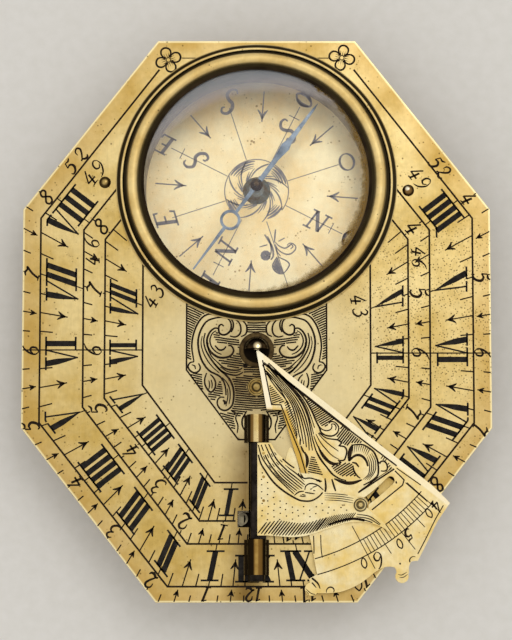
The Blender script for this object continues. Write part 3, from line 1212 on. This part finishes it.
STYLE_LINES = (
    # the outermost strand, which turns into the small spiral under the edge
    (0.28, STRANDS[3] + [8.6, -11.2, 9.3, -11.6, 10.1, -11.65, 10.7, -11.3, 10.95, -10.7, 10.8, -10.2,
        10.35, -9.8, 9.9, -9.75, 9.6, -10.0]),
    (0.2, [8.2, -10.2, 8.7, -10.75, 9.3, -10.95, 9.85, -10.8, 10.05, -10.4, 9.95, -10.05]),
    (0.2, [10.0, -10.05, 10.4, -10.1, 10.6, -10.5, 10.5, -10.9]),
    (0.24, [7.9, -13.6, 8.6, -14.8, 9.4, -15.9, 10.3, -16.9, 11.4, -17.5]),
    (0.24, [7.5, -12.2, 7.9, -13.6, 8.5, -14.8, 9.3, -15.8, 10.0, -16.7, 10.9, -17.3, 11.9, -17.6]),
    # the big leaf's scalloped edge and the lines in it
    (0.26, [8.3, -11.2, 9.2, -11.9, 10.2, -12.1, 10.8, -12.2, 11.3, -12.6, 11.0, -12.95, 11.7, -13.1,
        12.0, -13.6, 11.9, -14.3, 11.6, -14.9, 10.9, -14.95, 11.2, -15.2, 10.4, -15.3, 9.7, -15.0, 9.2,
        -14.7]),
    (0.18, [8.2, -11.3, 8.9, -12.1, 9.8, -12.9, 10.9, -13.7]),
    (0.18, [7.9, -11.4, 8.5, -12.5, 9.3, -13.5, 10.1, -14.3, 11.0, -14.8]),
    (0.2, [7.6, -11.6, 8.1, -12.9, 8.8, -14.0, 9.6, -14.9]),
    (0.34, [8.2, -13.0, 8.6, -14.0, 9.2, -14.8, 10.0, -15.4, 10.8, -15.5]),
    # tufts beside the strands
    (0.24, [5.8, -12.0, 5.8, -12.9]),
    (0.3, [5.9, -13.0, 6.15, -13.6, 6.4, -14.0]),
    # big volute
    (0.3, [12.6, -12.9, 13.4, -12.8, 14.2, -12.85, 15.0, -13.3, 15.6, -13.8, 15.9, -14.4, 16.1, -15.0,
        16.2, -16.0, 16.1, -16.9, 15.6, -17.4, 15.0, -17.8, 14.2, -18.2]),
    (0.4, [12.3, -15.0, 12.9, -14.4, 13.5, -14.2, 14.1, -14.4, 14.6, -15.0, 14.8, -15.7]),
    (0.3, [12.7, -15.2, 13.2, -15.3, 13.6, -15.8]),
    (0.26, [12.8, -15.7, 13.0, -16.4, 13.4, -17.0, 13.8, -17.3]),
    # lobes between the volute and the edge
    (0.26, [16.1, -15.0, 16.4, -15.3, 16.5, -15.1, 16.9, -15.0, 17.25, -15.3, 17.4, -15.8, 17.3, -16.2,
        16.9, -16.35, 16.5, -16.3]),
    # stalk that passes under the bird's neck
    (0.3, [9.1, -17.3, 9.2, -18.6, 9.0, -19.3]),
    (0.3, [10.0, -17.4, 10.3, -18.4, 10.5, -19.0]),
    # the dark side of the slot
    (0.32, [15.0, -19.8, 15.8, -19.1, 17.0, -18.2, 17.8, -17.6, 18.2, -17.45, 18.5, -17.7, 18.6, -18.0]),
    (0.5, [15.1, -19.85, 15.4, -20.1, 15.8, -20.3]),
)
style += traced(STYLE_LINES)
style += teeth(
    [3.7, -7.3, 4.2, -9.0, 4.9, -11.0, 5.3, -12.0],
    [4.2, -7.0, 4.9, -8.5, 5.2, -10.0, 5.4, -11.3],
    16, 0.17,
)
# strokes that run round the volute and close up below it
style += fan(
    [14.7, -14.4, 15.0, -15.4, 14.9, -16.7, 14.1, -17.5],
    [15.3, -13.9, 15.8, -15.0, 15.75, -16.3, 14.9, -17.6],
    4, 0.17,
)
style += teeth(
    [12.8, -13.0, 13.5, -12.9, 14.3, -13.05, 15.0, -13.5],
    [12.8, -14.0, 13.3, -13.75, 14.0, -13.85, 14.6, -14.3],
    9, 0.17, "fade",
)
# the near-black hollows beside the leaf, under it and in the tuft
HOLLOWS = (
    (0.65, [12.8, -12.85, 12.5, -13.5, 12.35, -14.3, 12.3, -15.05]),
    (0.55, [10.3, -17.35, 11.6, -17.85, 12.8, -17.9, 14.0, -17.5]),
    (0.5, [6.4, -13.8, 6.7, -14.5, 6.75, -15.2, 6.6, -15.9]),
)
style += traced(HOLLOWS, "swell")
style += fan([13.6, -19.0, 15.9, -17.4, 18.1, -15.9], [14.2, -18.6, 16.1, -17.2, 17.8, -16.1], 3, 0.16)
for angle, gap, width, corners in (
    (30, 0.28, 0.22, [6.3, -6.2, 7.3, -6.95, 10.5, -9.5, 9.6, -10.0, 9.3, -10.4, 8.6, -10.3, 8.0, -9.5, 7.5,
        -8.4, 7.0, -7.4]),
    (52, 0.29, 0.23, [10.9, -11.2, 11.4, -10.3, 14.3, -12.6, 12.6, -12.6, 11.9, -13.0, 11.4, -12.6, 10.6,
        -12.1]),
    (-12, 0.28, 0.2, [7.3, -14.1, 7.7, -14.4, 8.1, -15.3, 8.8, -16.8, 8.2, -17.0, 6.8, -16.8, 6.9, -15.8,
        7.1, -14.9]),
    (33, 0.29, 0.22, [9.9, -15.7, 10.9, -15.4, 12.3, -15.2, 12.9, -15.5, 13.0, -16.3, 13.2, -17.0, 11.2,
        -17.0, 10.4, -16.4]),
    (20, 0.28, 0.19, [1.6, -4.6, 2.2, -5.2, 3.8, -7.1, 2.1, -7.4]),
    (50, 0.3, 0.16, [16.2, -14.4, 17.0, -14.2, 18.2, -16.2, 17.6, -16.3, 17.4, -15.2, 16.7, -14.8]),
):
    style += hatch(corners, angle, gap, width)
# the latitude scale: two arcs about the toe and a line for each degree
LOW_ARC, HIGH_ARC = 29.0, 31.1
for radius, last in ((LOW_ARC, 37.6), (HIGH_ARC, 38.2)):
    style.append(cut([from_edge(radius, below) for below in np.arange(3.0, last, 0.8)], 0.17))
for degree in range(40, 61):
    below = degree - 36.2
    low, high = LOW_ARC, HIGH_ARC
    if degree in (45, 55):
        high += 1.5
    if degree in (40, 50, 60):
        high += 2.9
    if degree in (40, 60):
        low -= 2.2
    style.append(cut([from_edge(low, below), from_edge(high, below)], 0.13))
for mark, x, y, tall in (
    ("4", 23.8, -21.05, 1.6),
    ("0", 22.85, -21.95, 1.35),
    ("5", 20.15, -24.8, 1.45),
    ("0", 18.95, -26.0, 1.35),
    ("6", 16.1, -28.05, 2.0),
    ("0", 14.2, -28.55, 1.4),
):
    out_way = np.array([x, y]) / math.hypot(x, y)
    style += write(mark, (x, y), (out_way[1], -out_way[0]), tall, 0.2)
# the sweep that closes the scale, by its distances from the toe and from the edge
LAST_SWEEP = ((32.4, 1.2), (32.7, 3.4), (33.2, 5.9), (33.65, 8.4))
# the scrolls of the lower border
style += [
    pen(flow([7.55, -24.9, 7.6, -27.0, 7.45, -29.3]), 0.17),
    pen(flow([8.5, -24.8, 8.55, -26.6, 8.7, -27.8]), 0.15),
    pen(curl((20.75, -28.25), 0.62, 0.3, 60, 290), 0.2, "swell"),
    pen(curl((9.85, -32.2), 0.65, 0.35, 200, -230), 0.22, "swell"),
]
style += traced(
    (
        (0.3, [6.3, -30.0, 7.3, -30.5, 8.1, -31.2, 8.4, -31.9]),
        (0.22, [6.5, -30.8, 7.3, -31.1, 7.9, -31.8]),
        (0.14, [6.5, -31.9, 7.2, -32.5, 8.0, -32.7]),
        (0.14, [6.5, -32.2, 7.1, -32.8, 7.8, -33.0]),
        (0.14, [18.7, -30.0, 19.2, -30.1, 19.9, -29.7]),
        (0.14, [18.9, -30.4, 19.4, -30.4, 20.0, -30.0]),
    ),
    "swell",
)
style += [
    pen(circle((19.0, -28.6), 0.07), 0.14),
    pen(flow([edge_way * a + edge_in * b for a, b in LAST_SWEEP]), 0.16),
]
style += traced(
    (
        (0.17, [8.6, -32.75, 11.0, -32.7, 13.2, -32.1, 14.9, -30.9, 16.2, -29.9, 18.0, -29.3]),
        (0.14, [9.4, -32.95, 11.6, -32.9, 13.6, -32.3, 15.2, -31.2]),
    ),
    "swell",
)
style = moved(style, TOE)
engrave("style_engraving", style, "style_plate", STYLE_TOP, gnomon_wax, "style", 0.014)


# bird

FEATHERS = (
    [0.22, -12.9, 0.78, -14.7, 2.16, -16.64, 3.55, -18.1, 4.93, -19.41],
    [0.5, -12.62, 1.47, -14.98, 2.86, -16.85, 4.24, -18.1, 5.35, -18.99],
    [0.99, -12.55, 2.16, -14.98, 3.55, -16.64, 4.93, -17.85, 6.04, -18.72],
    [1.47, -12.55, 2.58, -14.7, 3.96, -16.22, 5.3, -17.3, 6.4, -18.2],
    [1.85, -12.6, 2.86, -14.14, 4.24, -15.45, 5.45, -16.3, 6.3, -17.4],
)
bird = traced([(0.24, points) for points in FEATHERS])
for low, high in zip(FEATHERS[:-1], FEATHERS[1:]):
    # a second line toward the wing's tip, and dashes above it
    bird += fan(low, high, 1, 0.2, "swell", ends=(0.5, 0.5), part=(0.5, 1.0))
    middle = (resample(low, 30) + resample(high, 30)) / 2
    for first in (6, 11):
        bird.append(pen(middle[first : first + 3], 0.15, "firm"))
BIRD_LINES = (
    (0.3, [0.05, -13.4, 0.5, -15.2, 1.19, -16.4, 2.2, -17.8, 3.55, -19.0, 5.35, -20.1, 6.3, -20.35, 7.3,
        -20.3, 8.2, -19.8, 8.95, -19.0]),
    # the wing's tip, in two lobes
    (0.22, [6.4, -18.9, 6.5, -18.4, 7.0, -18.05, 7.7, -18.1, 8.3, -18.4, 8.85, -18.9]),
    (0.18, [7.1, -18.8, 7.4, -18.7]),
    (0.18, [7.4, -18.55, 8.0, -18.35]),
    (0.18, [7.5, -18.95, 7.8, -19.0]),
    (0.2, [6.4, -19.2, 7.0, -19.3, 7.7, -19.4]),
    (0.22, [5.0, -19.6, 5.6, -19.15, 6.3, -19.05]),
    (0.18, [5.7, -19.7, 6.5, -19.75]),
    (0.18, [6.0, -19.45, 6.5, -19.6]),
    (0.22, [5.5, -16.2, 5.6, -16.85, 6.3, -17.35, 7.0, -17.3, 7.7, -17.45, 8.7, -17.75]),
    (0.36, [7.9, -17.6, 8.25, -17.65, 8.5, -17.85]),
    (0.2, [8.9, -17.0, 9.1, -17.8, 9.0, -18.6]),
    # dark under the belly's edge
    (0.26, [0.2, -24.75, 1.5, -25.05, 5.0, -25.05, 7.0, -24.75, 8.5, -24.25, 10.0, -23.75, 11.5, -23.35,
        12.6, -23.05]),
    (0.4, [9.5, -23.5, 11.0, -23.0, 12.6, -22.7, 14.0, -22.85, 15.4, -23.3, 16.5, -23.95]),
)
bird += traced(BIRD_LINES)
bird += fan([9.0, -19.1, 10.8, -19.15, 12.9, -19.4], [9.0, -20.2, 11.0, -20.3, 12.8, -20.6], 5, 0.14)
# slanting strokes along the belly, shorter toward the beak
upper = pairs([1.0, -23.2, 2.5, -22.9, 4.0, -23.1, 5.5, -23.3, 7.0, -23.1, 8.0, -22.7, 9.0, -22.5, 10.0,
    -22.2, 11.0, -22.1, 12.9, -21.9])
lower = pairs([0.3, -24.6, 1.5, -24.9, 5.0, -24.9, 7.0, -24.6, 8.5, -24.1, 10.0, -23.6, 11.5, -23.2, 12.6,
    -22.9])
for x in np.append(np.arange(0.2, 8.0, 0.4), np.arange(8.0, 12.6, 0.33)):
    y = np.interp(x, *lower.T)
    tall = np.interp(x + 1.0, *upper.T) - y
    bird.append(pen(straight([(x, y), (x + 0.78 * tall, y + tall)], 0.25), 0.23 if x < 8 else 0.16, "firm"))
bird += fan(
    [13.3, -22.1, 15.0, -22.4, 16.4, -23.4],
    [13.0, -23.1, 14.6, -23.3, 16.2, -23.8],
    4, 0.17, "firm",
)
# stipples over the body, in rows a little less than a millimetre apart
seed = np.random.default_rng(7)
wing = pairs([0.2, -14.4, 1.5, -17.6, 3.2, -19.8, 5.0, -20.6, 6.6, -21.0, 8.9, -20.4, 9.0, -20.9, 13.0,
    -21.1, 15.2, -22.1])
belly = pairs([0.2, -23.1, 7.0, -22.8, 10.0, -22.1, 12.4, -21.8, 15.0, -21.9])
for i, j in product(range(12), range(21)):
    x, y = np.array([0.7 + 0.8 * j, -15.0 - 0.82 * i - 0.41 * (j % 2)]) + seed.uniform(-0.08, 0.08, 2)
    if np.interp(x, *belly.T) + 0.15 < y < np.interp(x, *wing.T) - 0.15:
        dot = pairs([x - 0.1, y, x - 0.05, y, x + 0.05, y, x + 0.1, y])
        bird.append((dot, np.array([0.08, 0.19, 0.19, 0.08])))
bird = moved(bird, TOE)
engrave("bird_engraving", bird, "bird_front", BIRD_TOP, gnomon_wax, "bird", 0.015)


# finishes of the solids

for name, obj in nodes.items():
    slots = obj.data.materials
    slots[0] = OWN_FINISH.get(name) or FINISH[slots[0].name]


# floor, light and camera

# Pale paper sweep under the object: matt, with a very faint tooth.
sheet = Nodes(bpy.data.materials.new("pale_matt_paper"))
sheet.tint(sheet.noise(1.5, 3.0), (0.3, "#D9D7D2"), (0.7, "#DEDCD8"))
paper = sheet.shade({"Base Color": sheet.colour, "Roughness": 0.9})
FLOOR = 3.0
floor_mesh = bpy.data.meshes.new("floor")
floor_mesh.from_pydata(
    [(-FLOOR, -FLOOR, 0), (FLOOR, -FLOOR, 0), (FLOOR, FLOOR, 0), (-FLOOR, FLOOR, 0)], [], [(0, 1, 2, 3)]
)
floor_mesh.materials.append(paper)
floor = bpy.data.objects.new("floor", floor_mesh)
scene.collection.objects.link(floor)
floor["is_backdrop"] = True

# A tent of light: a little brighter overhead than at the sides.
tent = Nodes(bpy.data.worlds.new("soft_tent"), "Generated")
tent.tint(tent.apart()[2], (0.0, "#DCDAD6"), (0.5, "#DEDCD8"), (1.0, "#F4F1EC"))
scene.world = tent.shade({"Color": tent.colour, "Strength": 1.0}, "Background", "OutputWorld")


def aim(obj, place, target):
    """Puts a lamp or camera at place and turns its -Z axis to target, with +Y kept upward."""
    way = Vector(target) - Vector(place)
    obj.location = place
    obj.rotation_euler = way.to_track_quat("-Z", "Y").to_euler()
    scene.collection.objects.link(obj)


for name, place, size, power in (
    ("key_lamp", (0.16, 0.26, 0.56), 0.3, 0.5),
    ("fill_lamp", (-0.42, -0.3, 0.42), 0.4, 0.25),
):
    lamp = bpy.data.lights.new(name, "AREA")
    lamp.size = size
    lamp.energy = power
    aim(bpy.data.objects.new(name, lamp), place, (0, 0, 0.005))

TILT = math.radians(7.0)
REACH = 350.0
VIEW_HEIGHT = 86.0
target = np.array([-0.08, -0.25, PLATE_TOP])
camera_data = bpy.data.cameras.new("camera")
camera_data.sensor_width = 36.0
camera_data.lens = 36.0 * REACH / VIEW_HEIGHT
camera = bpy.data.objects.new("camera", camera_data)
place = target + REACH * np.array([0.0, -math.sin(TILT), math.cos(TILT)])
aim(camera, tuple(place * MM), tuple(target * MM))
scene.camera = camera
scene.view_settings.view_transform = "Standard"

low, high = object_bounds()
